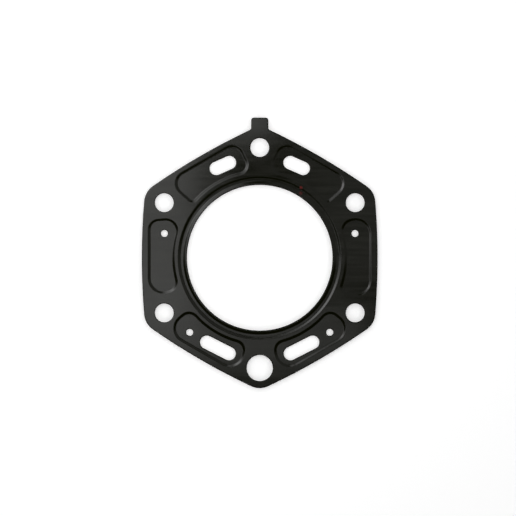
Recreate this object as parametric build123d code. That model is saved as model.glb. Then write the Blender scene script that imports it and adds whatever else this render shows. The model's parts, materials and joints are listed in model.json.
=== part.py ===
"""Cylinder head gasket for a single-cylinder, liquid-cooled engine with six head studs.

One sheet of rubber-coated spring steel. It is embossed first and blanked second, so the source
does the same: a plain disc is pressed, then the outline, the bore and the ports are cut through it.

The emboss is a set of recesses that all share one wall section, a half bead. Six pockets lie
between the studs, round the coolant ports, and one groove, the full bead, runs round the bore.
The lands that are left high carry the studs, the outer rim and the lip of the bore.

Frame, in millimetres: the origin is the centre of the bore, on the plane that the pocket floors
rest on. +Z points up through the sheet, towards the cylinder head. +Y points at the locating tab.
"""

import os
from dataclasses import dataclass
from math import atan2, cos, degrees, pi, radians, sin, sqrt, tan

from build123d import *

# --- Sheet and emboss ---------------------------------------------------------------------------
sheet_thickness = 0.50
emboss_depth = 0.35        # how far the recess floors lie below the lands
wall_angle = 17.0          # slope of a recess wall, from the plane of the sheet
bend_radius = 1.6          # on the outside of each bend that faces the head

# --- Bore and its sealing bead ------------------------------------------------------------------
bore_diameter = 70.0
bead_from_bore = 2.5       # bore edge to the middle of the groove
bead_width = 2.4           # between the two walls of the groove, at mid height

# --- Studs --------------------------------------------------------------------------------------
stud_circle = 106.0
stud_hole = 9.0            # M8 stud, medium clearance
dowel_hole = 12.5          # the lowest stud passes through a locating dowel

# --- Outline ------------------------------------------------------------------------------------
corner_radius = 9.7        # round each stud
side_bow = 1.1             # how far the middle of a side stands out past a straight one
tab_width = 8.3
tab_reach = 4.7            # past the rounded corner that it grows from
tab_tip_radius = 1.3
tab_root_radius = 1.3

# --- Coolant ports and bleed holes --------------------------------------------------------------
port_circle = 95.6
port_width = 6.4
port_lean = 2.0            # degrees that each slot turns past square to its radius
upper_port_length = 13.3
upper_port_angle = 21.8    # from the +Y axis
lower_port_length = 18.4
lower_port_angle = 24.9    # from the -Y axis
bleed_hole = 3.3
side_bleed_circle = 94.6
side_bleed_angle = 14.3    # above the X axis
lower_bleed_circle = 98.4
lower_bleed_angle = 43.2   # from the -Y axis

# --- Pockets, all measured to the middle of the wall --------------------------------------------
pocket_from_bore = 6.45    # bore edge to the inner wall
upper_rim = 2.8            # outer edge of the sheet to the outer wall, at the middle of a side
side_rim = 3.55
lower_rim = 3.6
shortest_wall = 0.1        # straight piece that the corners of a pocket always leave in an end wall


@dataclass(frozen=True)
class PocketEnd:
    """One end of a pocket, seen along the side of the hexagon that the pocket lies on."""

    stud_gap: float        # centre of the stud to the end wall, along the side
    lean: float            # degrees the end wall leans outwards, from square to the side
    outer_radius: float    # corner by the outer edge of the sheet
    inner_radius: float    # corner by the bore


upper_tab_end = PocketEnd(stud_gap=8.5, lean=4.0, outer_radius=5.4, inner_radius=4.4)
upper_stud_end = PocketEnd(stud_gap=8.8, lean=18.0, outer_radius=5.6, inner_radius=2.2)
right_top_end = PocketEnd(stud_gap=7.6, lean=11.0, outer_radius=7.0, inner_radius=5.6)
right_bottom_end = PocketEnd(stud_gap=8.3, lean=7.0, outer_radius=7.0, inner_radius=3.4)
lower_stud_end = PocketEnd(stud_gap=6.5, lean=20.0, outer_radius=6.5, inner_radius=4.6)
lower_dowel_end = PocketEnd(stud_gap=9.2, lean=16.0, outer_radius=6.5, inner_radius=4.6)
left_bottom_end = PocketEnd(stud_gap=9.1, lean=16.5, outer_radius=6.9, inner_radius=4.8)
left_top_end = PocketEnd(stud_gap=8.2, lean=-5.0, outer_radius=4.6, inner_radius=5.6)

# One pocket to each side of the hexagon, clockwise from the tab: its rim and its two ends.
pockets = [
    (upper_rim, upper_tab_end, upper_stud_end),
    (side_rim, right_top_end, right_bottom_end),
    (lower_rim, lower_stud_end, lower_dowel_end),
    (lower_rim, lower_dowel_end, lower_stud_end),
    (side_rim, left_bottom_end, left_top_end),
    (upper_rim, upper_stud_end, upper_tab_end),
]

# --- Worked out from the sizes above ------------------------------------------------------------
side_count = len(pockets)
side_turn = 360 / side_count
bore_radius = bore_diameter / 2
stud_radius = stud_circle / 2
bead_radius = bore_radius + bead_from_bore
pocket_inner_radius = bore_radius + pocket_from_bore
half_side = stud_radius * sin(pi / side_count)
side_distance = stud_radius * cos(pi / side_count) + corner_radius + side_bow
side_radius = (half_side**2 + side_bow**2) / (2 * side_bow) + corner_radius
tab_tip = stud_radius + corner_radius + tab_reach
blank_radius = tab_tip + corner_radius
wall_run = emboss_depth / tan(radians(wall_angle))
full_height = emboss_depth + sheet_thickness

cut_margin = 1.0           # how far a punch runs past each face of the sheet
tolerance = 1e-3


def polar(radius, angle):
    """Point at a radius, and at an angle in degrees from +X."""
    return (radius * cos(radians(angle)), radius * sin(radians(angle)))


def direction(point):
    """Direction of a point from the centre of the bore, in degrees from +X."""
    return degrees(atan2(point.Y, point.X))


def stud_places():
    """Centres of the studs, clockwise from the one below the tab."""
    return [polar(stud_radius, 90 - side_turn * index) for index in range(side_count)]


# --- Recesses -----------------------------------------------------------------------------------
def end_corners(end, outer_wall, grow):
    """Arcs of the two corners of the end at +X: one by the outer wall, then one by the bore."""
    along = Vector(sin(radians(end.lean)), cos(radians(end.lean)))
    outward = Vector(along.Y, -along.X)
    middle = Vector(half_side - end.stud_gap, (pocket_inner_radius + outer_wall) / 2)
    reach = middle.dot(outward)
    inner_distance = pocket_inner_radius + end.inner_radius
    inner_reach = reach - end.inner_radius
    inner_tangent = sqrt(inner_distance**2 - inner_reach**2)
    inner_centre = outward * inner_reach + along * inner_tangent

    # The outer corner takes no more of the end wall than the inner one leaves.
    sharp_corner = middle + along * ((outer_wall - middle.Y) / along.Y)
    setback = tan(radians(45 + end.lean / 2))
    wall_left = sharp_corner.dot(along) - inner_tangent - shortest_wall
    outer_radius = min(end.outer_radius, wall_left / setback)
    outer_centre = sharp_corner - outward * outer_radius - along * (outer_radius * setback)

    to_bore = direction(inner_centre) - 180
    outer_corner = CenterArc(outer_centre, outer_radius + grow, 90, -90 - end.lean)
    inner_corner = CenterArc(inner_centre, end.inner_radius + grow, -end.lean, to_bore + end.lean)
    return outer_corner, inner_corner


def pocket_face(rim, first_end, last_end, grow):
    """Outline of a pocket whose side faces +Y, grown by a distance from the middle of its wall."""
    outer_wall = side_distance - rim
    last_outer, last_inner = end_corners(last_end, outer_wall, grow)
    first_outer, first_inner = [
        mirror(corner, about=Plane.YZ) for corner in end_corners(first_end, outer_wall, grow)
    ]
    start = direction(last_inner @ 1)
    turn = direction(first_inner @ 1) - start
    inner_wall = CenterArc((0, 0), pocket_inner_radius - grow, start, turn)
    straight_walls = [
        Line(first_outer @ 0, last_outer @ 0),
        Line(last_outer @ 1, last_inner @ 0),
        Line(first_outer @ 1, first_inner @ 0),
    ]
    corners = [last_outer, last_inner, first_outer, first_inner]
    return make_face(straight_walls + corners + [inner_wall])


def pocket_press(rim, first_end, last_end):
    """Solid of a pocket whose side faces +Y: its floor at z = 0, opening out to the lands."""
    floor = pocket_face(rim, first_end, last_end, -wall_run / 2)
    return extrude(floor, emboss_depth, taper=wall_angle - 90)


def bead_press():
    """Solid of the groove round the bore, with the same walls as the pockets."""
    half_floor = (bead_width - wall_run) / 2
    half_mouth = (bead_width + wall_run) / 2
    section = make_face(
        Polyline(
            (bead_radius - half_floor, 0),
            (bead_radius + half_floor, 0),
            (bead_radius + half_mouth, emboss_depth),
            (bead_radius - half_mouth, emboss_depth),
            close=True,
        )
    )
    return revolve(Plane.XZ * section, Axis.Z)


def embossed_blank():
    """Round blank with every recess pressed into it, at one thickness all over."""
    presses = [bead_press()]
    for index, pocket in enumerate(pockets):
        presses.append(Rot(0, 0, -side_turn * (index + 0.5)) * pocket_press(*pocket))
    blank = Pos(0, 0, emboss_depth) * extrude(Circle(blank_radius), sheet_thickness)
    blank = blank + presses - [Pos(0, 0, sheet_thickness) * press for press in presses]
    heads = blank.edges().group_by(Axis.Z)[-1]
    bends = heads.sort_by(SortBy.LENGTH)[:-1]  # all but the rim of the blank
    return fillet(bends, bend_radius)


# --- Outline and holes --------------------------------------------------------------------------
def outline_face():
    """Hexagon with bowed sides and a rounded corner round each stud, with its locating tab."""
    outline = Circle(side_radius)
    for index in range(side_count):
        side = polar(side_distance - side_radius, 90 - side_turn * (index + 0.5))
        outline = outline & (Pos(*side) * Circle(side_radius))
    outline = fillet(outline.vertices(), corner_radius)

    tab_middle = (stud_radius + tab_tip) / 2
    outline += Pos(0, tab_middle) * Rectangle(tab_width, tab_tip - stud_radius)
    on_tab = [v for v in outline.vertices() if abs(abs(v.X) - tab_width / 2) < tolerance]
    roots = ShapeList(on_tab).sort_by(Axis.Y)[:2]
    outline = fillet(roots, tab_root_radius)
    return fillet(outline.vertices().group_by(Axis.Y)[-1], tab_tip_radius)


def port_faces():
    """Coolant slots: two short ones above the bore and two long ones below it."""
    right_hand = [
        (upper_port_length, 90 - upper_port_angle, -port_lean),
        (lower_port_length, lower_port_angle - 90, port_lean),
    ]
    faces = []
    for length, angle, lean in right_hand:
        slot = Pos(*polar(port_circle / 2, angle)) * Rot(0, 0, angle + 90 + lean)
        face = slot * SlotOverall(length, port_width)
        faces += [face, mirror(face, about=Plane.YZ)]
    return faces


def round_hole_faces():
    """The bore, the stud holes with the dowel hole among them, and the four bleed holes."""
    faces = [Circle(bore_radius)]
    dowel_index = side_count // 2
    for index, place in enumerate(stud_places()):
        diameter = dowel_hole if index == dowel_index else stud_hole
        faces.append(Pos(*place) * Circle(diameter / 2))
    bleeds = [(side_bleed_circle, side_bleed_angle), (lower_bleed_circle, lower_bleed_angle - 90)]
    for circle, angle in bleeds:
        face = Pos(*polar(circle / 2, angle)) * Circle(bleed_hole / 2)
        faces += [face, mirror(face, about=Plane.YZ)]
    return faces


def punch(face):
    """Cutter of a face's outline that runs right through the sheet."""
    return Pos(0, 0, -cut_margin) * extrude(face, full_height + 2 * cut_margin)


def head_gasket():
    """The finished sheet, blanked out of the embossed disc."""
    holes = [punch(face) for face in round_hole_faces() + port_faces()]
    return (embossed_blank() & punch(outline_face())) - holes


os.makedirs("parts", exist_ok=True)
export_step(head_gasket(), "parts/head_gasket.step")
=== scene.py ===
"""Looks of an embossed head gasket: its rubber-coated sheet, the table it lies on and its light.

The scene is in metres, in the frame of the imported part: the origin is the centre of the bore, on
the plane that the pocket floors rest on, +Z points up to the cylinder head and +Y at the tab. The
sheet is drawn in plan in millimetres, as its maker would dimension it, and turned into metres when
its mesh is written.
"""

import json
import logging
from collections.abc import Iterable, Sequence
from dataclasses import dataclass, field
from enum import Enum
from math import atan2, ceil, copysign, cos, dist, hypot, pi, radians, sin, sqrt, tan
from typing import Any

import bmesh
import bpy
import numpy as np
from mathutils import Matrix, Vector
from mathutils.geometry import delaunay_2d_cdt


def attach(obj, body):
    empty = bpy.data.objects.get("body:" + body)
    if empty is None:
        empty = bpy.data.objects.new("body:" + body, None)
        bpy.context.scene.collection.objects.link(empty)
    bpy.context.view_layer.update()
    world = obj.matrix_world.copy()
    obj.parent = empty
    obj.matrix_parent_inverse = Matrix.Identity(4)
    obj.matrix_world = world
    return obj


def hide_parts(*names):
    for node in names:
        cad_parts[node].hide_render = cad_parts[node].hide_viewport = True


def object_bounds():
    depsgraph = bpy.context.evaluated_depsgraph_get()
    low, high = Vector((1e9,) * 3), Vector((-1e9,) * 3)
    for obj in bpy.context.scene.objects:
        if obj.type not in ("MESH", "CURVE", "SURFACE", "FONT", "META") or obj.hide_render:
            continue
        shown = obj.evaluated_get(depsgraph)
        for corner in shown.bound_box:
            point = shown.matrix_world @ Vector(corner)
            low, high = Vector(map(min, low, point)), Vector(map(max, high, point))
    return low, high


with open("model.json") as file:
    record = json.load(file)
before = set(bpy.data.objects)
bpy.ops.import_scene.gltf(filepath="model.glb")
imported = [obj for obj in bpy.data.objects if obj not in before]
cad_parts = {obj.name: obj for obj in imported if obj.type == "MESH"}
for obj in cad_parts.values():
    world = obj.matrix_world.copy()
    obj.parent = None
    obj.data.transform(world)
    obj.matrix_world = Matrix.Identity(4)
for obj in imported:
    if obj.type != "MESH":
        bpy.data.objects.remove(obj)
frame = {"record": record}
cad_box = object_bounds()

log = logging.getLogger("head_gasket")

MM = 0.001
FULL_TURN = 2 * pi
QUARTER_TURN = pi / 2

# Longest distance between points, in millimetres: along the sheet's edges and walls, round the
# stud holes and the ports, and round the small bleed holes.
EDGE_STEP = 1.1
HOLE_STEP = 0.8
BLEED_STEP = 0.45

Point = tuple[float, float]
Place = tuple[float, float, float]
Colour = tuple[float, float, float]


def mount_size(name: str, size: str) -> float:
    """Size of one of the part's mounts.

    Args:
        name: The mount's name in the part's record.
        size: The key of the dimension wanted.

    Returns:
        The dimension, in millimetres.
    """
    mounts = {mount["name"]: mount for mount in frame["record"]["mounts"]}
    return mounts[name]["dims"][size]


def polar(radius: float, angle: float) -> Point:
    """Point at a radius and an angle, in radians from +X."""
    return (radius * cos(angle), radius * sin(angle))


# --- Plan outlines ------------------------------------------------------------------------------
@dataclass(frozen=True)
class Arc:
    """Round stretch of an outline that runs anticlockwise round its shape.

    A positive sweep bulges out of the shape and a negative one bulges into it.
    """

    centre: Point
    radius: float
    start: float
    sweep: float

    def points(self, grow: float, step: float) -> list[Point]:
        """Points along the arc, both ends included, as many for every grow.

        Args:
            grow: Distance that the outline is moved outwards, in millimetres.
            step: Longest distance wanted between points, in millimetres.

        Returns:
            The points in order.
        """
        longest_turn = radians(11)
        radius = self.radius + grow * copysign(1, self.sweep)
        count = ceil(max(abs(self.sweep) * self.radius / step, abs(self.sweep) / longest_turn))
        x, y = self.centre
        angles = [self.start + self.sweep * index / count for index in range(count + 1)]
        return [(x + radius * cos(angle), y + radius * sin(angle)) for angle in angles]

    def turned(self, angle: float) -> "Arc":
        """The same arc, turned about the centre of the bore by an angle in radians."""
        distance, direction = hypot(*self.centre), atan2(self.centre[1], self.centre[0])
        return Arc(polar(distance, direction + angle), self.radius, self.start + angle, self.sweep)


@dataclass(frozen=True)
class Outline:
    """Closed plan curve: arcs in order, anticlockwise, joined by straight lines."""

    arcs: tuple[Arc, ...]
    step: float = EDGE_STEP

    def ring(self, grow: float = 0.0) -> list[Point]:
        """Points round the curve, which line up from one grow to the next.

        Args:
            grow: Distance that the curve is moved outwards, in millimetres.

        Returns:
            The points in order, with no point given twice.
        """
        touching = 1e-3
        ring: list[Point] = []
        for arc, following in zip(self.arcs, self.arcs[1:] + self.arcs[:1]):
            ring += arc.points(grow, self.step)
            gap = dist(arc.points(0, self.step)[-1], following.points(0, self.step)[0])
            if gap < touching:
                ring.pop()
                continue
            (x0, y0), (x1, y1) = ring[-1], following.points(grow, self.step)[0]
            count = ceil(gap / self.step)
            shares = [index / count for index in range(1, count)]
            ring += [(x0 + (x1 - x0) * share, y0 + (y1 - y0) * share) for share in shares]
        return ring

    def turned(self, angle: float) -> "Outline":
        """The same curve, turned about the centre of the bore by an angle in radians."""
        return Outline(tuple(arc.turned(angle) for arc in self.arcs), self.step)


def circle(centre: Point, radius: float, step: float = EDGE_STEP) -> Outline:
    """Full circle as a plan curve."""
    return Outline((Arc(centre, radius, 0.0, FULL_TURN),), step)


def slot(centre: Point, length: float, width: float, slope: float) -> Outline:
    """Slot with round ends.

    Args:
        centre: Its middle, in millimetres.
        length: Its length over the round ends.
        width: Its width.
        slope: Direction of its length, in radians from +X.

    Returns:
        The slot's outline.
    """
    reach = (length - width) / 2
    ends = [
        (centre[0] + sign * reach * cos(slope), centre[1] + sign * reach * sin(slope))
        for sign in (1, -1)
    ]
    arcs = (
        Arc(ends[0], width / 2, slope - QUARTER_TURN, pi),
        Arc(ends[1], width / 2, slope + QUARTER_TURN, pi),
    )
    return Outline(arcs, HOLE_STEP)


# --- The sheet in plan --------------------------------------------------------------------------
@dataclass(frozen=True)
class PocketEnd:
    """One end of a pocket, seen along the side of the hexagon that the pocket lies on.

    The gap runs from the stud to the end's wall and the lean is the wall's, in degrees. The outer
    corner is the one by the rim and the inner corner the one by the bore.
    """

    stud_gap: float
    lean: float
    outer_radius: float
    inner_radius: float


@dataclass(frozen=True)
class Pocket:
    """Recess on one side of the hexagon: its rim, then its left and its right end."""

    rim: float
    left: PocketEnd
    right: PocketEnd


TAB_END = PocketEnd(8.5, 4.0, 5.4, 4.4)
UPPER_STUD_END = PocketEnd(8.8, 18.0, 5.6, 2.2)
RIGHT_TOP_END = PocketEnd(7.6, 11.0, 7.0, 5.6)
RIGHT_BOTTOM_END = PocketEnd(8.3, 7.0, 7.0, 3.4)
LOWER_STUD_END = PocketEnd(6.5, 20.0, 6.5, 4.6)
DOWEL_END = PocketEnd(9.2, 16.0, 6.5, 4.6)
LEFT_BOTTOM_END = PocketEnd(9.1, 16.5, 6.9, 4.8)
LEFT_TOP_END = PocketEnd(8.2, -5.0, 4.6, 5.6)


@dataclass(frozen=True)
class Hexagon:
    """Outer shape of the sheet: bowed sides, a round corner at each stud and a locating tab."""

    stud_radius: float = 53.0
    corner_radius: float = 9.7
    side_bow: float = 1.1
    side_count: int = 6
    tab_width: float = 8.3
    tab_reach: float = 4.7
    tip_radius: float = 1.3
    root_radius: float = 1.3

    @property
    def half_side(self) -> float:
        """Half the distance between neighbouring studs."""
        return self.stud_radius * sin(pi / self.side_count)

    @property
    def side_distance(self) -> float:
        """Centre of the bore to the middle of a side."""
        return self.stud_radius * cos(pi / self.side_count) + self.corner_radius + self.side_bow

    @property
    def side_radius(self) -> float:
        """Radius of the bow of a side."""
        return (self.half_side**2 + self.side_bow**2) / (2 * self.side_bow) + self.corner_radius

    @property
    def bow_back(self) -> float:
        """Centre of the bore to the centre of a side's bow, counted towards that side."""
        return self.side_distance - self.side_radius

    def stud_places(self) -> list[Point]:
        """Centres of the studs, anticlockwise from the one below the tab."""
        turn = FULL_TURN / self.side_count
        angles = [QUARTER_TURN + turn * index for index in range(self.side_count)]
        return [polar(self.stud_radius, angle) for angle in angles]

    def tab(self) -> list[Arc]:
        """Arcs of the tab, which points at +Y, from its right root to its left one.

        The tab is as wide as the round corner below it, so its roots run into the bowed sides.
        """
        half_width = self.tab_width / 2
        tip_x = half_width - self.tip_radius
        tip_y = self.stud_radius + self.corner_radius + self.tab_reach - self.tip_radius
        bow_x, bow_y = polar(self.bow_back, QUARTER_TURN - pi / self.side_count)
        root_x = half_width + self.root_radius
        root_rise = sqrt((self.side_radius + self.root_radius) ** 2 - (root_x - bow_x) ** 2)
        root_y = bow_y + root_rise
        climb = atan2(root_rise, root_x - bow_x)
        return [
            Arc((root_x, root_y), self.root_radius, climb + pi, -climb),
            Arc((tip_x, tip_y), self.tip_radius, 0.0, QUARTER_TURN),
            Arc((-tip_x, tip_y), self.tip_radius, QUARTER_TURN, QUARTER_TURN),
            Arc((-root_x, root_y), self.root_radius, 0.0, -climb),
        ]

    def outline(self) -> Outline:
        """Outline of the blanked sheet, from the right root of the tab."""
        turn = pi / self.side_count
        bow_turn = atan2(self.half_side, self.stud_radius * cos(turn) - self.bow_back)
        arcs = self.tab()
        climb = abs(arcs[0].sweep)
        studs = self.stud_places()
        for index in range(self.side_count):
            facing = QUARTER_TURN + turn * (2 * index + 1)
            first = pi - climb if index == 0 else facing - bow_turn
            at_tab = index == self.side_count - 1
            last = FULL_TURN + climb if at_tab else facing + bow_turn
            arcs.append(Arc(polar(self.bow_back, facing), self.side_radius, first, last - first))
            if not at_tab:
                corner = studs[index + 1]
                arcs.append(Arc(corner, self.corner_radius, last, 2 * (turn - bow_turn)))
        return Outline(tuple(arcs))


@dataclass(frozen=True)
class RecessWall:
    """Section of the wall between a recess floor and a land: two soft bends and a slope.

    The level is the narrow flat strip beyond each bend, which keeps the bend's shading off the
    wide flats.
    """

    depth: float = 0.35
    angle: float = radians(17.0)
    bend: float = 0.40
    level: float = 0.07
    bend_rows: int = 4

    @property
    def run(self) -> float:
        """Plan width of the wall, measured between its sharp corners."""
        return self.depth / tan(self.angle)

    @property
    def reach(self) -> float:
        """Middle of the wall to the first flat row of points on either side."""
        return (self.run + self.bend) / 2 + self.level

    def offsets(self) -> list[float]:
        """Distances from the middle of the wall at which it has points, floor side first."""
        inside = (self.run - self.bend) / 2
        rows = [inside + self.bend * index / self.bend_rows for index in range(self.bend_rows + 1)]
        rows.append(self.reach)
        return [-row for row in reversed(rows)] + [0.0] + rows

    def height(self, offset: float) -> float:
        """Height above the recess floor, in millimetres, at a distance from the wall's middle."""
        outside = (self.run + self.bend) / 2
        inside = outside - self.bend
        if abs(offset) >= outside:
            return self.depth if offset > 0 else 0.0
        rise = tan(self.angle) * min(abs(offset), inside)
        if abs(offset) > inside:
            into_bend = abs(offset) - inside
            rise += tan(self.angle) * (into_bend - into_bend**2 / (2 * self.bend))
        return self.depth / 2 + copysign(rise, offset)

    def shoulder(self, offset: float) -> float:
        """How much a row lies on the upper bend of the wall, from 0 to 1."""
        outside = (self.run + self.bend) / 2
        middle = outside - self.bend / 2
        return max(0.0, 1 - abs(offset - middle) / (self.bend / 2))


@dataclass(frozen=True)
class CutEdge:
    """Section of a blanked edge: a soft roll on the side the punch enters, then a bright wall."""

    roll_width: float = 0.32
    roll_depth: float = 0.08
    rows: tuple[float, ...] = (0.0, 0.2, 0.5, 1.0, 1.5)
    burnish: float = 0.45

    def insets(self) -> list[float]:
        """Distances into the sheet at which the edge has points, the edge itself first."""
        return [row * self.roll_width for row in self.rows]

    def drop(self, inset: float) -> float:
        """How far the upper face has rolled down at a distance from the edge."""
        share = max(0.0, 1 - inset / self.roll_width)
        return self.roll_depth * share**2


class Finish(Enum):
    """Number that a face carries for its finish, in the order that the piece is dressed in."""

    COATED = 0
    CUT = 1


class Level(Enum):
    """Height at which a flat stretch of the sheet lies."""

    FLOOR = 0
    LAND = 1


@dataclass(frozen=True)
class Hole:
    """Hole through the sheet, and the level of the stretch that it is cut in."""

    outline: Outline
    level: Level


@dataclass(frozen=True)
class Band:
    """Wall between two loops of points, given by their numbers, which its own faces fill."""

    outer: int
    inner: int


@dataclass(frozen=True)
class CutRows:
    """The two rows of points at a cut edge that its wall runs between."""

    top: list[int]
    below: list[int]


@dataclass
class PlanMesh:
    """The sheet in plan: points with their height, and the faces between them."""

    points: list[Point] = field(default_factory=list)
    heights: list[float] = field(default_factory=list)
    drops: list[float] = field(default_factory=list)
    shoulders: list[float] = field(default_factory=list)
    faces: list[tuple[int, ...]] = field(default_factory=list)
    loops: list[list[int]] = field(default_factory=list)

    def add_ring(
        self, ring: Sequence[Point], height: float, drop: float = 0.0, shoulder: float = 0.0
    ) -> list[int]:
        """Adds a ring of points.

        Args:
            ring: The points in order.
            height: Height of the sheet's underside there, in millimetres.
            drop: How far the upper face has rolled down there.
            shoulder: How much the ring lies on the upper bend of a wall.

        Returns:
            The indices of the new points.
        """
        first = len(self.points)
        self.points += ring
        self.heights += [height] * len(ring)
        self.drops += [drop] * len(ring)
        self.shoulders += [shoulder] * len(ring)
        return list(range(first, len(self.points)))

    @staticmethod
    def strip(ring: Sequence[int], other: Sequence[int]) -> list[tuple[int, ...]]:
        """Faces of four sides that fill the gap between two rings of equal count."""
        count = len(ring)
        sides = [(here, (here + 1) % count) for here in range(count)]
        return [(ring[here], ring[after], other[after], other[here]) for here, after in sides]

    def join(self, ring: Sequence[int], other: Sequence[int]) -> None:
        """Fills the gap between two rings of the plan."""
        self.faces += self.strip(ring, other)

    def add_loop(self, ring: list[int]) -> int:
        """Marks a ring as an edge of the flat stretches, and gives its number."""
        self.loops.append(ring)
        return len(self.loops) - 1


@dataclass
class EmbossedSheet:
    """The gasket: one sheet of coated spring steel with its recesses, ports and holes."""

    hexagon: Hexagon = field(default_factory=Hexagon)
    wall: RecessWall = field(default_factory=RecessWall)
    edge: CutEdge = field(default_factory=CutEdge)
    thickness: float = mount_size("cylinder_bore", "length_mm")
    bore_radius: float = mount_size("cylinder_bore", "r_mm")
    stud_hole_radius: float = mount_size("tab_stud_hole", "r_mm")
    dowel_hole_radius: float = mount_size("dowel_hole", "r_mm")
    bead_from_bore: float = 2.5
    bead_width: float = 2.4
    pocket_from_bore: float = 6.45
    upper_rim: float = 2.8
    side_rim: float = 3.55
    lower_rim: float = 3.6
    port_radius: float = 47.8
    port_width: float = 6.4
    port_lean: float = radians(2.0)
    upper_port_length: float = 13.3
    upper_port_angle: float = radians(21.8)
    lower_port_length: float = 18.4
    lower_port_angle: float = radians(24.9)
    bleed_hole_radius: float = 1.65
    side_bleed_radius: float = 47.3
    side_bleed_angle: float = radians(14.3)
    lower_bleed_radius: float = 49.2
    lower_bleed_angle: float = radians(43.2)
    fill_step: float = 2.6
    fill_clearance: float = 0.45
    merge_distance: float = 1e-7
    crease_angle: float = radians(32.0)

    def pockets(self) -> list[Pocket]:
        """One pocket to each side of the hexagon, clockwise from the tab."""
        return [
            Pocket(self.upper_rim, TAB_END, UPPER_STUD_END),
            Pocket(self.side_rim, RIGHT_TOP_END, RIGHT_BOTTOM_END),
            Pocket(self.lower_rim, LOWER_STUD_END, DOWEL_END),
            Pocket(self.lower_rim, DOWEL_END, LOWER_STUD_END),
            Pocket(self.side_rim, LEFT_BOTTOM_END, LEFT_TOP_END),
            Pocket(self.upper_rim, UPPER_STUD_END, TAB_END),
        ]

    def end_corners(self, end: PocketEnd, outer_wall: float) -> tuple[Arc, Arc]:
        """Corners of the right-hand end of a pocket whose side faces +Y.

        Args:
            end: The end's sizes.
            outer_wall: Height of the outer wall above the centre of the bore.

        Returns:
            The corner by the bore and the corner by the rim.
        """
        lean = radians(end.lean)
        inner_wall = self.bore_radius + self.pocket_from_bore
        middle = Vector((self.hexagon.half_side - end.stud_gap, (inner_wall + outer_wall) / 2))
        along = Vector((sin(lean), cos(lean)))
        outward = Vector((along.y, -along.x))
        reach = middle.dot(outward)

        outer = outward * (reach - end.outer_radius)
        outer += along * ((outer_wall - end.outer_radius - outer.y) / along.y)
        inner_reach = reach - end.inner_radius
        inner_distance = inner_wall + end.inner_radius
        inner = outward * inner_reach + along * sqrt(inner_distance**2 - inner_reach**2)

        to_bore = atan2(inner.y, inner.x) - pi
        return (
            Arc(tuple(inner), end.inner_radius, to_bore, -lean - to_bore),
            Arc(tuple(outer), end.outer_radius, -lean, QUARTER_TURN + lean),
        )

    def pocket_outline(self, pocket: Pocket) -> Outline:
        """Middle of the wall of a pocket whose side faces +Y."""
        outer_wall = self.hexagon.side_distance - pocket.rim
        right_inner, right_outer = self.end_corners(pocket.right, outer_wall)
        left_inner, left_outer = [
            Arc((-arc.centre[0], arc.centre[1]), arc.radius, pi - arc.start - arc.sweep, arc.sweep)
            for arc in self.end_corners(pocket.left, outer_wall)
        ]
        start = atan2(left_inner.centre[1], left_inner.centre[0])
        stop = atan2(right_inner.centre[1], right_inner.centre[0])
        bore_side = Arc((0.0, 0.0), self.bore_radius + self.pocket_from_bore, start, stop - start)
        return Outline((bore_side, right_inner, right_outer, left_outer, left_inner))

    def holes(self) -> list[Hole]:
        """Every hole through the sheet: bore, studs, and ports and bleed holes in the pockets."""
        holes = [Hole(circle((0.0, 0.0), self.bore_radius), Level.LAND)]
        for index, place in enumerate(self.hexagon.stud_places()):
            opposite_tab = index == self.hexagon.side_count // 2
            radius = self.dowel_hole_radius if opposite_tab else self.stud_hole_radius
            holes.append(Hole(circle(place, radius, HOLE_STEP), Level.LAND))
        for sign in (1, -1):
            upper = QUARTER_TURN - sign * self.upper_port_angle
            lower = -QUARTER_TURN + sign * self.lower_port_angle
            lean = sign * self.port_lean
            ports = (
                (upper, self.upper_port_length, QUARTER_TURN - lean),
                (lower, self.lower_port_length, QUARTER_TURN + lean),
            )
            for angle, length, across in ports:
                place = polar(self.port_radius, angle)
                port = slot(place, length, self.port_width, angle + across)
                holes.append(Hole(port, Level.FLOOR))
            bleeds = (
                polar(self.side_bleed_radius, self.side_bleed_angle),
                polar(self.lower_bleed_radius, self.lower_bleed_angle - QUARTER_TURN),
            )
            for x, y in bleeds:
                bleed = circle((sign * x, y), self.bleed_hole_radius, BLEED_STEP)
                holes.append(Hole(bleed, Level.FLOOR))
        return holes

    def height_of(self, level: Level) -> float:
        """Height of the sheet's underside at a level, in millimetres."""
        return self.wall.depth if level is Level.LAND else 0.0

    def add_edge(
        self, plan: PlanMesh, outline: Outline, level: Level, inward: int
    ) -> tuple[CutRows, int]:
        """Adds the rows of a cut edge.

        Args:
            plan: The plan that the rows go into.
            outline: The edge's outline.
            level: Level of the stretch that is cut.
            inward: 1 round a hole, where the sheet lies outside the outline, and -1 round the blank.

        Returns:
            The rows that the cut wall runs between, and the loop's number.
        """
        base = self.height_of(level)
        rows = [
            plan.add_ring(outline.ring(inward * inset), base, self.edge.drop(inset))
            for inset in self.edge.insets()
        ]
        for row, following in zip(rows, rows[1:]):
            plan.join(row, following)
        return CutRows(rows[0], rows[1]), plan.add_loop(rows[-1])

    def add_wall(self, plan: PlanMesh, outline: Outline, side: int = 1) -> tuple[int, int]:
        """Adds the rows of a recess wall.

        Args:
            plan: The plan that the rows go into.
            outline: Middle of the wall, anticlockwise.
            side: 1 where the recess lies inside the outline, and -1 where it lies outside it.

        Returns:
            The numbers of the loops on the floor side and on the land side.
        """
        rows = []
        for offset in self.wall.offsets():
            ring = outline.ring(side * offset)
            height, shoulder = self.wall.height(offset), self.wall.shoulder(offset)
            rows.append(plan.add_ring(ring, height, shoulder=shoulder))
        for row, following in zip(rows, rows[1:]):
            plan.join(row, following)
        return plan.add_loop(rows[0]), plan.add_loop(rows[-1])

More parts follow.
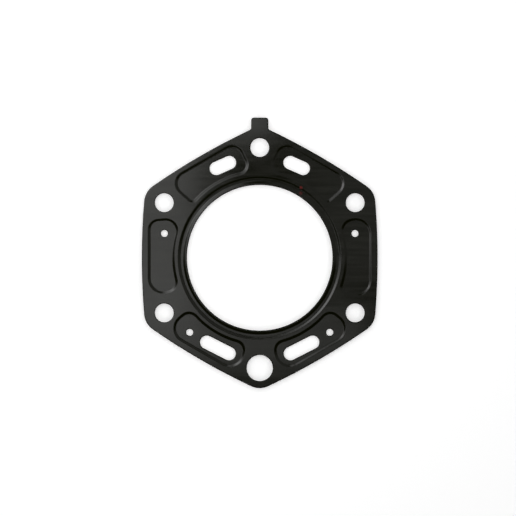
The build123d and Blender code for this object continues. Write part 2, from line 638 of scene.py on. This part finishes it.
    def fill_points(self, plan: PlanMesh) -> list[Point]:
        """Points in a honeycomb pattern for the flat stretches, clear of every ring."""
        reach = self.hexagon.stud_radius + self.hexagon.corner_radius
        row_step = self.fill_step * sin(radians(60))
        rows = int(reach / row_step)
        columns = int(reach / self.fill_step)
        grid = np.array(
            [
                ((column + 0.5 * (row % 2)) * self.fill_step, row * row_step)
                for row in range(-rows, rows + 1)
                for column in range(-columns, columns + 1)
            ]
        )
        ring_points = np.array([plan.points[index] for loop in plan.loops for index in loop])
        clearance = self.fill_clearance * self.fill_step
        clear = [np.min(np.hypot(*(ring_points - point).T)) > clearance for point in grid]
        return [tuple(point) for point in grid[clear]]

    def fill_flats(self, plan: PlanMesh, blank: int, holes: list[int], walls: list[Band]) -> None:
        """Fills the flat stretches between the rings with triangles.

        Args:
            plan: The plan that is filled.
            blank: Loop of the outer edge.
            holes: Loops of the holes.
            walls: The recess walls, each from its outer loop to its inner loop.
        """
        kept = [index for loop in plan.loops for index in loop]
        number = {index: place for place, index in enumerate(kept)}
        faces = [[number[index] for index in loop] for loop in plan.loops]
        coordinates = [plan.points[index] for index in kept] + self.fill_points(plan)
        edges = [pair for face in faces for pair in zip(face, face[1:] + face[:1])]
        whole_plane = 0
        points, _, triangles, sources, _, owners = delaunay_2d_cdt(
            [Vector(point) for point in coordinates], edges, faces, whole_plane, self.merge_distance
        )
        places: dict[int, int] = {}
        for triangle, loops in zip(triangles, owners):
            level = self.level_of(set(loops), blank, holes, walls)
            if level is None:
                continue
            corners = []
            for corner in triangle:
                source = sources[corner][0]
                if source < len(kept):
                    corners.append(kept[source])
                    continue
                if corner not in places:
                    point = tuple(points[corner])
                    places[corner] = plan.add_ring([point], self.height_of(level))[0]
                corners.append(places[corner])
            plan.faces.append(tuple(corners))

    @staticmethod
    def level_of(
        inside: set[int], blank: int, holes: list[int], walls: list[Band]
    ) -> Level | None:
        """Level of a flat triangle, or None where there is a hole or a wall.

        Args:
            inside: Numbers of the loops that hold the triangle.
            blank: Loop of the outer edge.
            holes: Loops of the holes.
            walls: The recess walls, each from its outer loop to its inner loop.

        Returns:
            The level that the triangle lies at.
        """
        if blank not in inside or any(hole in inside for hole in holes):
            return None
        if any(wall.outer in inside and wall.inner not in inside for wall in walls):
            return None
        depth = sum(wall.outer in inside for wall in walls)
        return Level.FLOOR if depth % 2 else Level.LAND

    def plan(self) -> tuple[PlanMesh, list[CutRows]]:
        """The whole sheet in plan, and the rows of its cut edges."""
        plan = PlanMesh()
        rows, blank = self.add_edge(plan, self.hexagon.outline(), Level.LAND, -1)
        cuts = [rows]
        holes = []
        for hole in self.holes():
            rows, loop = self.add_edge(plan, hole.outline, hole.level, 1)
            cuts.append(rows)
            holes.append(loop)

        walls = []
        turn = FULL_TURN / self.hexagon.side_count
        for index, pocket in enumerate(self.pockets()):
            outline = self.pocket_outline(pocket).turned(-turn * (index + 0.5))
            floor, land = self.add_wall(plan, outline)
            walls.append(Band(land, floor))
        bead_radius = self.bore_radius + self.bead_from_bore
        far_wall = circle((0.0, 0.0), bead_radius + self.bead_width / 2)
        near_wall = circle((0.0, 0.0), bead_radius - self.bead_width / 2)
        floor, land = self.add_wall(plan, far_wall)
        walls.append(Band(land, floor))
        floor, land = self.add_wall(plan, near_wall, side=-1)
        walls.append(Band(floor, land))
        self.fill_flats(plan, blank, holes, walls)
        return plan, cuts

    def both_faces(self, plan: PlanMesh) -> list[Place]:
        """Points of the sheet's upper face, and then as many of its underside."""
        upper = [
            (x, y, z + self.thickness - drop)
            for (x, y), z, drop in zip(plan.points, plan.heights, plan.drops)
        ]
        return upper + [(x, y, z) for (x, y), z in zip(plan.points, plan.heights)]

    def cut_walls(
        self, plan: PlanMesh, cuts: list[CutRows], points: list[Place]
    ) -> list[tuple[int, ...]]:
        """Faces of the cut edges, from the upper face to the underside.

        Args:
            plan: The sheet in plan.
            cuts: The rows that each cut wall runs between.
            points: The sheet's points, to which the walls add a row halfway down.

        Returns:
            The faces.
        """
        count = len(plan.points)
        faces = []
        for rows in cuts:
            first = len(points)
            for index in rows.top:
                x, y = plan.points[index]
                points.append((x, y, plan.heights[index] + self.thickness * self.edge.burnish))
            middle = list(range(first, len(points)))
            lower = [count + index for index in rows.below]
            faces += PlanMesh.strip(rows.top, middle) + PlanMesh.strip(middle, lower)
        return faces

    def build(self, name: str) -> bpy.types.Object:
        """Builds the sheet's mesh from its plan.

        Args:
            name: Name of the piece.

        Returns:
            The piece, linked to the scene.
        """
        plan, cuts = self.plan()
        count = len(plan.points)
        outermost = {index for rows in cuts for index in rows.top}
        under_faces = [
            tuple(count + index for index in reversed(face))
            for face in plan.faces
            if not outermost.intersection(face)
        ]
        coated_faces = plan.faces + under_faces
        points = self.both_faces(plan)
        cut_faces = self.cut_walls(plan, cuts, points)
        mesh = bpy.data.meshes.new(name)
        mesh.from_pydata([Vector(point) * MM for point in points], [], coated_faces + cut_faces)
        finishes = [Finish.COATED.value] * len(coated_faces) + [Finish.CUT.value] * len(cut_faces)
        mesh.polygons.foreach_set("material_index", finishes)
        self.tidy(mesh)
        self.mark(mesh, plan)
        piece = bpy.data.objects.new(name, mesh)
        bpy.context.scene.collection.objects.link(piece)
        return piece

    @staticmethod
    def mark(mesh: bpy.types.Mesh, plan: PlanMesh) -> None:
        """Stores on the mesh's points how much each lies on the upper bend of a wall."""
        shoulder = mesh.attributes.new("shoulder", "FLOAT", "POINT")
        values = np.zeros(len(mesh.vertices), np.float32)
        values[: len(plan.shoulders)] = plan.shoulders
        shoulder.data.foreach_set("value", values)

    def tidy(self, mesh: bpy.types.Mesh) -> None:
        """Turns every face outwards and shades the bends softly, with a crease at the cuts."""
        shape = bmesh.new()
        shape.from_mesh(mesh)
        bmesh.ops.recalc_face_normals(shape, faces=shape.faces)
        open_edges = [edge for edge in shape.edges if len(edge.link_faces) != 2]
        loose = [point for point in shape.verts if not point.link_faces]
        bmesh.ops.delete(shape, geom=loose, context="VERTS")
        log.info("sheet: %d open edges", len(open_edges))
        shape.to_mesh(mesh)
        shape.free()
        mesh.shade_smooth()
        mesh.set_sharp_from_angle(angle=self.crease_angle)
        mesh.update()


# --- Node trees ---------------------------------------------------------------------------------
class Graph:
    """A node tree that is filled by short calls."""

    def __init__(self, tree: bpy.types.NodeTree) -> None:
        """Takes the tree that the nodes go into."""
        self.tree = tree

    def node(
        self, kind: str, inputs: dict[Any, Any] | None = None, **settings: Any
    ) -> bpy.types.Node:
        """Adds a node.

        Args:
            kind: The node's type.
            inputs: Values or output sockets for its inputs, by name or number.
            settings: The node's own properties.

        Returns:
            The node.
        """
        node = self.tree.nodes.new(kind)
        for name, value in settings.items():
            setattr(node, name, value)
        for name, value in (inputs or {}).items():
            self.feed(node.inputs[name], value)
        return node

    def feed(self, socket: bpy.types.NodeSocket, value: Any) -> None:
        """Gives an input its value, or links it where the value is another node's output."""
        if isinstance(value, bpy.types.NodeSocket):
            self.tree.links.new(value, socket)
        else:
            socket.default_value = value

    def maths(self, operation: str, *values: Any) -> bpy.types.NodeSocket:
        """Result of a sum on numbers or sockets."""
        return self.node("ShaderNodeMath", dict(enumerate(values)), operation=operation).outputs[0]

    def ramp(
        self, value: Any, low: float, high: float, start: float, stop: float
    ) -> bpy.types.NodeSocket:
        """Value carried from the range low..high to the range start..stop, and held there."""
        ranges = {"From Min": low, "From Max": high, "To Min": start, "To Max": stop}
        return self.node("ShaderNodeMapRange", {"Value": value, **ranges}).outputs["Result"]

    def noise(self, place: Any, scale: Any, detail: float) -> bpy.types.NodeSocket:
        """Value of a noise at a place, with the scale in lumps to the metre."""
        inputs = {"Vector": place, "Scale": scale, "Detail": detail}
        return self.node("ShaderNodeTexNoise", inputs).outputs[0]

    def mix(self, factor: Any, first: Any, second: Any) -> bpy.types.NodeSocket:
        """Colour mixed from two others."""
        node = self.node("ShaderNodeMix", data_type="RGBA")
        for name, value in (("Factor", factor), ("A", first), ("B", second)):
            kind = "VALUE" if name == "Factor" else "RGBA"
            sockets = (item for item in node.inputs if item.name == name and item.type == kind)
            self.feed(next(sockets), value)
        return next(item for item in node.outputs if item.type == "RGBA")

    def seen(self) -> bpy.types.NodeSocket:
        """1 where the camera looks, straight or by a reflection or through glass, and else 0."""
        path = self.node("ShaderNodeLightPath")
        seen = path.outputs["Is Camera Ray"]
        for ray in ("Is Glossy Ray", "Is Transmission Ray"):
            seen = self.maths("MAXIMUM", seen, path.outputs[ray])
        return seen

    def end(self, kind: str, shader: bpy.types.Node) -> None:
        """Ends the tree of a material or a world with its shader."""
        self.node(kind, {"Surface": shader.outputs[0]})


def empty_graph(owner: bpy.types.Material | bpy.types.World) -> Graph:
    """Clears the nodes of a material or a world and gives the graph that fills them anew."""
    owner.use_nodes = True
    owner.node_tree.nodes.clear()
    return Graph(owner.node_tree)


class SocketKind(Enum):
    """Kinds of socket on a node group."""

    NUMBER = "NodeSocketFloat"
    VECTOR = "NodeSocketVector"


class Effect:
    """A node group with named inputs and outputs, built once and used by several finishes."""

    name: str
    inputs: dict[str, tuple[SocketKind, Any]] = {}
    outputs: dict[str, SocketKind] = {}

    def fill(self, graph: Graph, given: bpy.types.Node) -> dict[str, bpy.types.NodeSocket]:
        """Fills the group and gives the socket that each output takes its value from."""
        raise NotImplementedError

    def tree(self) -> bpy.types.NodeTree:
        """The group, which is built the first time that it is asked for."""
        if self.name in bpy.data.node_groups:
            return bpy.data.node_groups[self.name]
        tree = bpy.data.node_groups.new(self.name, "ShaderNodeTree")
        for name, (kind, default) in self.inputs.items():
            socket = tree.interface.new_socket(name, in_out="INPUT", socket_type=kind.value)
            socket.default_value = default
        for name, kind in self.outputs.items():
            tree.interface.new_socket(name, in_out="OUTPUT", socket_type=kind.value)
        graph = Graph(tree)
        results = self.fill(graph, graph.node("NodeGroupInput"))
        graph.node("NodeGroupOutput", results)
        return tree

    def place(self, graph: Graph, values: dict[str, Any] | None = None) -> bpy.types.Node:
        """Places the group in a material with its own values."""
        return graph.node("ShaderNodeGroup", values, node_tree=self.tree())


class RollingGrain(Effect):
    """Fine lines that the rolls leave along the strip, and wider streaks of them."""

    name = "rolling grain"
    inputs = {
        "Lines per metre": (SocketKind.NUMBER, 2600.0),
        "Stretch": (SocketKind.NUMBER, 14.0),
    }
    outputs = {"Height": SocketKind.NUMBER, "Streak": SocketKind.NUMBER}
    line_detail = 3.0
    streak_share = 0.22
    streak_detail = 2.0
    streak_range = (0.38, 0.66)

    def fill(self, graph: Graph, given: bpy.types.Node) -> dict[str, bpy.types.NodeSocket]:
        """Builds the lines from noise that is drawn out along X."""
        place = graph.node("ShaderNodeTexCoord").outputs["Object"]
        axes = graph.node("ShaderNodeSeparateXYZ", {0: place}).outputs
        along = graph.maths("DIVIDE", axes["X"], given.outputs["Stretch"])
        drawn = graph.node("ShaderNodeCombineXYZ", {0: along, 1: axes["Y"], 2: axes["Z"]}).outputs[0]
        line_scale = given.outputs["Lines per metre"]
        streak_scale = graph.maths("MULTIPLY", line_scale, self.streak_share)
        lines = graph.noise(drawn, line_scale, self.line_detail)
        streaks = graph.noise(drawn, streak_scale, self.streak_detail)
        return {
            "Height": graph.maths("MULTIPLY", graph.maths("ADD", lines, streaks), 0.5),
            "Streak": graph.ramp(streaks, *self.streak_range, 0.0, 1.0),
        }


class CoatingSpeckle(Effect):
    """Dry orange peel of a thin rubber coating, with slightly duller and glossier clouds."""

    name = "coating speckle"
    inputs = {
        "Grains per metre": (SocketKind.NUMBER, 5200.0),
        "Clouds per metre": (SocketKind.NUMBER, 70.0),
    }
    outputs = {
        "Height": SocketKind.NUMBER,
        "Cloud": SocketKind.NUMBER,
        "Fleck": SocketKind.NUMBER,
    }
    grain_detail = 2.0
    cloud_detail = 4.0
    cloud_range = (0.32, 0.68)
    cell_share = 0.16
    fleck_range = (0.06, 0.13)

    def fill(self, graph: Graph, given: bpy.types.Node) -> dict[str, bpy.types.NodeSocket]:
        """Builds the peel and the clouds from noise, and the flecks from cells."""
        place = graph.node("ShaderNodeTexCoord").outputs["Object"]
        grain_scale = given.outputs["Grains per metre"]
        grain = graph.noise(place, grain_scale, self.grain_detail)
        cloud = graph.noise(place, given.outputs["Clouds per metre"], self.cloud_detail)
        cell_scale = graph.maths("MULTIPLY", grain_scale, self.cell_share)
        cells = graph.node("ShaderNodeTexVoronoi", {"Vector": place, "Scale": cell_scale})
        return {
            "Height": grain,
            "Cloud": graph.ramp(cloud, *self.cloud_range, 0.0, 1.0),
            "Fleck": graph.ramp(cells.outputs["Distance"], *self.fleck_range, 1.0, 0.0),
        }


class Stain(Effect):
    """Small round stain with a ragged rim."""

    name = "stain"
    inputs = {
        "Place": (SocketKind.VECTOR, (0.0, 0.0, 0.0)),
        "Radius": (SocketKind.NUMBER, 0.0005),
    }
    outputs = {"Mask": SocketKind.NUMBER}
    rim_scale = 3000.0
    rim_detail = 2.0
    rim_range = (0.55, 1.1)

    def fill(self, graph: Graph, given: bpy.types.Node) -> dict[str, bpy.types.NodeSocket]:
        """Builds the stain from the distance to its middle, shaken by noise."""
        place = graph.node("ShaderNodeTexCoord").outputs["Object"]
        ends = {0: place, 1: given.outputs["Place"]}
        away = graph.node("ShaderNodeVectorMath", ends, operation="DISTANCE").outputs["Value"]
        share = graph.maths("DIVIDE", away, given.outputs["Radius"])
        noise = graph.noise(place, self.rim_scale, self.rim_detail)
        ragged = graph.maths("ADD", share, graph.maths("SUBTRACT", noise, 0.5))
        return {"Mask": graph.ramp(ragged, *self.rim_range, 1.0, 0.0)}


# --- Finishes -----------------------------------------------------------------------------------
@dataclass(frozen=True)
class Spot:
    """Place of one stain on the sheet, its radius in millimetres and how strong it is."""

    place: Place
    radius: float
    strength: float


@dataclass(frozen=True)
class RubberCoating:
    """Black rubber coating on spring steel, satin, with the strip's rolling lines in it.

    The coating is a little lighter at dry flecks. The shoulders of the walls get the same lighter
    colour as painted sheen of the bends, and the rolling lines of the flats a lighter colour as
    their painted sheen. Flat range says how level a spot has to be, from 0 on its side to 1 flat,
    to show that painted sheen. Bump depth is in millimetres.
    """

    colour: Colour = (0.0026, 0.0029, 0.0002)
    # Lighter colour of the dry flecks, also painted on the shoulders of the walls as painted sheen.
    fleck_and_sheen_colour: Colour = (0.0075, 0.0078, 0.0045)
    # Painted sheen of the rolling lines on the level faces.
    rolled_sheen_colour: Colour = (0.0170, 0.0172, 0.0130)
    stain_colour: Colour = (0.110, 0.012, 0.012)
    # Strength of the painted sheen on the shoulders, of the flecks, and of the painted sheen on the
    # rolling lines.
    shoulder_sheen_share: float = 0.35
    fleck_share: float = 0.4
    rolled_sheen_share: float = 0.45
    flat_range: tuple[float, float] = (0.985, 0.998)
    gloss_level: float = 0.50
    roughness: float = 0.15
    cloud_roughness: float = 0.02
    streak_roughness: float = 0.02
    line_height: float = 0.6
    peel_height: float = 0.4
    bump_strength: float = 0.12
    bump_depth: float = 0.02
    spots: tuple[Spot, ...] = (
        Spot((19.9, 33.8, 0.75), 0.80, 0.85),
        Spot((19.7, 31.0, 0.75), 1.00, 0.40),
    )

    def colouring(
        self, graph: Graph, grain: bpy.types.Node, speckle: bpy.types.Node
    ) -> bpy.types.NodeSocket:
        """Colour of the coating: flecks, stains, and painted sheen on shoulders and rolling lines.

        Args:
            graph: The material's graph.
            grain: The rolling grain, placed in it.
            speckle: The coating's speckle, placed in it.

        Returns:
            The socket that gives the colour.
        """
        # Painted sheen: a lighter colour on the upper bends of the walls stands in for the lamps'
        # reflection there; the dry flecks, which are the coating's own, take the same colour.
        shoulder = graph.node("ShaderNodeAttribute", attribute_name="shoulder").outputs["Fac"]
        cloud = graph.ramp(speckle.outputs["Cloud"], 0.0, 1.0, 0.0, self.shoulder_sheen_share)
        shoulder_sheen = graph.maths("MULTIPLY", shoulder, cloud)
        fleck = graph.maths("MULTIPLY", speckle.outputs["Fleck"], self.fleck_share)
        light = graph.maths("MAXIMUM", shoulder_sheen, fleck)
        colour = graph.mix(light, (*self.colour, 1.0), (*self.fleck_and_sheen_colour, 1.0))

        # Painted sheen: the rolling streaks get a lighter colour only where the face is level,
        # standing in for the lamps' reflection in them.
        facing = graph.node("ShaderNodeNewGeometry").outputs["Normal"]
        upright = graph.node("ShaderNodeSeparateXYZ", {0: facing}).outputs["Z"]
        level = graph.maths("ABSOLUTE", upright)
        flat = graph.ramp(level, *self.flat_range, 0.0, self.rolled_sheen_share)
        rolled = graph.maths("MULTIPLY", grain.outputs["Streak"], flat)
        colour = graph.mix(rolled, colour, (*self.rolled_sheen_colour, 1.0))

        for spot in self.spots:
            place = tuple(length * MM for length in spot.place)
            stain = Stain().place(graph, {"Place": place, "Radius": spot.radius * MM})
            share = graph.maths("MULTIPLY", stain.outputs["Mask"], spot.strength)
            colour = graph.mix(share, colour, (*self.stain_colour, 1.0))
        return colour

    def roughening(
        self, graph: Graph, grain: bpy.types.Node, speckle: bpy.types.Node
    ) -> bpy.types.NodeSocket:
        """Roughness of the coating, which varies with its clouds and rolling lines."""
        smoothest = self.roughness - self.cloud_roughness
        dullest = self.roughness + self.cloud_roughness
        cloud = graph.ramp(speckle.outputs["Cloud"], 0.0, 1.0, smoothest, dullest)
        streak = graph.maths("MULTIPLY", grain.outputs["Streak"], self.streak_roughness)
        return graph.maths("ADD", cloud, streak)

    def build(self) -> bpy.types.Material:
        """Builds the coating's material."""
        material = bpy.data.materials.new("rubber_coating")
        graph = empty_graph(material)
        grain = RollingGrain().place(graph)
        speckle = CoatingSpeckle().place(graph)
        lines = graph.maths("MULTIPLY", grain.outputs["Height"], self.line_height)
        peel = graph.maths("MULTIPLY", speckle.outputs["Height"], self.peel_height)
        relief = {
            "Height": graph.maths("ADD", lines, peel),
            "Strength": self.bump_strength,
            "Distance": self.bump_depth * MM,
        }
        finish = {
            "Base Color": self.colouring(graph, grain, speckle),
            "Roughness": self.roughening(graph, grain, speckle),
            "Specular IOR Level": self.gloss_level,
            "Normal": graph.node("ShaderNodeBump", relief).outputs["Normal"],
        }
        graph.end("ShaderNodeOutputMaterial", graph.node("ShaderNodeBsdfPrincipled", finish))
        return material


@dataclass(frozen=True)
class CutSteel:
    """Bare spring steel where the sheet was blanked, with brighter and duller, torn patches."""

    colour: Colour = (0.42, 0.38, 0.32)
    torn_colour: Colour = (0.16, 0.145, 0.125)
    roughness: float = 0.38
    torn_roughness: float = 0.58
    grains_per_metre: float = 9000.0
    patches_per_metre: float = 900.0

    def build(self) -> bpy.types.Material:
        """Builds the material of the cut edges."""
        material = bpy.data.materials.new("cut_steel")
        graph = empty_graph(material)
        sizes = {
            "Grains per metre": self.grains_per_metre,
            "Clouds per metre": self.patches_per_metre,
        }
        torn = CoatingSpeckle().place(graph, sizes).outputs["Cloud"]
        finish = {
            "Base Color": graph.mix(torn, (*self.colour, 1.0), (*self.torn_colour, 1.0)),
            "Roughness": graph.ramp(torn, 0.0, 1.0, self.roughness, self.torn_roughness),
            "Metallic": 1.0,
        }
        graph.end("ShaderNodeOutputMaterial", graph.node("ShaderNodeBsdfPrincipled", finish))
        return material


@dataclass(frozen=True)
class TableTop:
    """Plain white table that keeps the shadow of what lies on it."""

    colour: Colour = (0.92, 0.92, 0.92)
    lift: float = 0.30
    roughness: float = 0.9

    def build(self) -> bpy.types.Material:
        """Builds the table's material, which the camera and reflections see a little lighter."""
        material = bpy.data.materials.new("table_top")
        graph = empty_graph(material)
        finish = {
            "Base Color": (*self.colour, 1.0),
            "Roughness": self.roughness,
            "Specular IOR Level": 0.0,
            "Emission Color": (1.0, 1.0, 1.0, 1.0),
            "Emission Strength": graph.maths("MULTIPLY", graph.seen(), self.lift),
        }
        graph.end("ShaderNodeOutputMaterial", graph.node("ShaderNodeBsdfPrincipled", finish))
        return material


# --- Studio -------------------------------------------------------------------------------------
@dataclass(frozen=True)
class Softbox:
    """Flat soft lamp that hangs over the table and faces straight down.

    Its place and sizes are in metres, and its strength is what a mirror below it would show.
    """

    name: str
    place: Place
    length: float
    width: float
    strength: float

    def build(self) -> None:
        """Hangs the lamp, hidden from the camera."""
        lamp = bpy.data.lights.new(self.name, "AREA")
        lamp.shape = "RECTANGLE"
        lamp.size = self.length
        lamp.size_y = self.width
        lamp.energy = self.strength * self.length * self.width * pi
        piece = bpy.data.objects.new(self.name, lamp)
        piece.location = self.place
        piece.visible_camera = False
        bpy.context.scene.collection.objects.link(piece)


@dataclass(frozen=True)
class Studio:
    """Table, lamps, surroundings and camera.

    The wall sizes are heights of a direction, from 0 level to 1 straight up.
    """

    image_width: int = 516
    metres_per_pixel: float = 0.00048077
    lens: float = 100.0
    sensor: float = 36.0
    camera_shift: Point = (-0.817, -0.12)
    table_size: float = 6.0
    table_divisions: int = 8
    table_gap: float = 0.00002
    wall_fade: tuple[float, float] = (0.38, 0.50)
    wall_light: float = 3.0
    wall_white: float = 1.0
    lamps: tuple[Softbox, ...] = (
        Softbox("key_softbox", (-0.170, 0.125, 0.36), 0.13, 0.14, 3.5),
        Softbox("spill_softbox", (-0.172, 0.150, 0.36), 0.22, 0.30, 1.25),
        Softbox("side_softbox", (-0.084, 0.014, 0.36), 0.08, 0.17, 1.48),
        Softbox("back_softbox", (-0.016, 0.121, 0.36), 0.06, 0.063, 1.60),
        Softbox("front_softbox", (-0.004, -0.060, 0.36), 0.17, 0.046, 0.76),
        Softbox("fill_softbox", (0.187, 0.158, 0.36), 0.31, 0.356, 0.28),
    )

    def build_table(self) -> None:
        """Lays the table just under the sheet."""
        shape = bmesh.new()
        divisions = {"x_segments": self.table_divisions, "y_segments": self.table_divisions}
        bmesh.ops.create_grid(shape, **divisions, size=self.table_size / 2)
        mesh = bpy.data.meshes.new("table")
        shape.to_mesh(mesh)
        shape.free()
        table = bpy.data.objects.new("table", mesh)
        table.location.z = -self.table_gap
        table.data.materials.append(TableTop().build())
        bpy.context.scene.collection.objects.link(table)

    def build_surroundings(self) -> None:
        """Pale walls round the table, which fade to a dark ceiling above it.

        They light the table more than the camera and reflections see of them, which is white.
        """
        world = bpy.data.worlds.new("studio")
        bpy.context.scene.world = world
        graph = empty_graph(world)
        direction = graph.node("ShaderNodeTexCoord").outputs["Generated"]
        height = graph.node("ShaderNodeSeparateXYZ", {0: direction}).outputs["Z"]
        wall = graph.ramp(height, *self.wall_fade, 1.0, 0.0)
        level = graph.ramp(graph.seen(), 0.0, 1.0, self.wall_light, self.wall_white)
        light = {
            "Color": (1.0, 1.0, 1.0, 1.0),
            "Strength": graph.maths("MULTIPLY", wall, level),
        }
        graph.end("ShaderNodeOutputWorld", graph.node("ShaderNodeBackground", light))

    def build_camera(self) -> None:
        """Hangs the camera straight above the sheet."""
        lens = bpy.data.cameras.new("camera")
        lens.lens = self.lens
        lens.sensor_width = self.sensor
        field_width = self.image_width * self.metres_per_pixel
        camera = bpy.data.objects.new("camera", lens)
        upper_face = cad_box[1].z
        height = upper_face + field_width * self.lens / self.sensor
        camera.location = (self.camera_shift[0] * MM, self.camera_shift[1] * MM, height)
        bpy.context.scene.collection.objects.link(camera)
        bpy.context.scene.camera = camera

    def build(self) -> None:
        """Sets up the whole studio."""
        self.build_table()
        for lamp in self.lamps:
            lamp.build()
        self.build_surroundings()
        self.build_camera()
        bpy.context.scene.view_settings.view_transform = "Standard"


def dress(piece: bpy.types.Object, materials: Iterable[bpy.types.Material]) -> None:
    """Gives a piece its materials, in the order of its faces' numbers."""
    for material in materials:
        piece.data.materials.append(material)


def main() -> None:
    """Builds the gasket and the studio round it."""
    logging.basicConfig(level=logging.INFO, format="%(name)s: %(message)s")
    sheet = EmbossedSheet().build("gasket_sheet")
    dress(sheet, (RubberCoating().build(), CutSteel().build()))
    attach(sheet, "root")
    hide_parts("head_gasket")
    log.info("sheet: %d points, %d faces", len(sheet.data.vertices), len(sheet.data.polygons))
    Studio().build()
    log.info("studio: table, lamps and camera are up")


if __name__ == "__main__":
    main()
